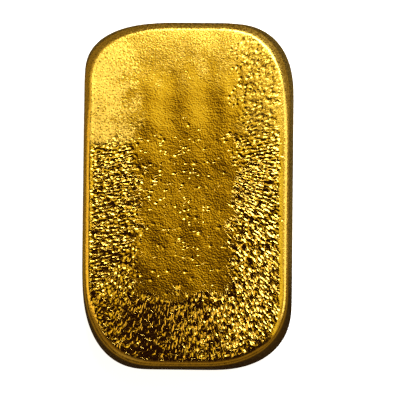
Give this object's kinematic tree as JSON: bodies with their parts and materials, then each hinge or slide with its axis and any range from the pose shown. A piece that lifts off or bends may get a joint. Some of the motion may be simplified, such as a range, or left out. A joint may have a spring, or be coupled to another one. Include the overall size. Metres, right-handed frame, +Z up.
{
  "type": "cast gold ingot",
  "caption": "Cast gold ingot, a thick rounded-corner bar with drafted sides and soft edges, lying mould face up as raw metal stock.",
  "frame": {"origin": "on the floor, under the middle of the ingot's widest outline", "axes": "+Y along the ingot's length, +X across its width, +Z up out of its mould face"},
  "size_m": [0.0302, 0.05, 0.0093],
  "materials": {
    "cast_gold": "satin"
  },
  "bodies": {
    "root": {"ingot": "cast_gold"}
  },
  "joints": []
}
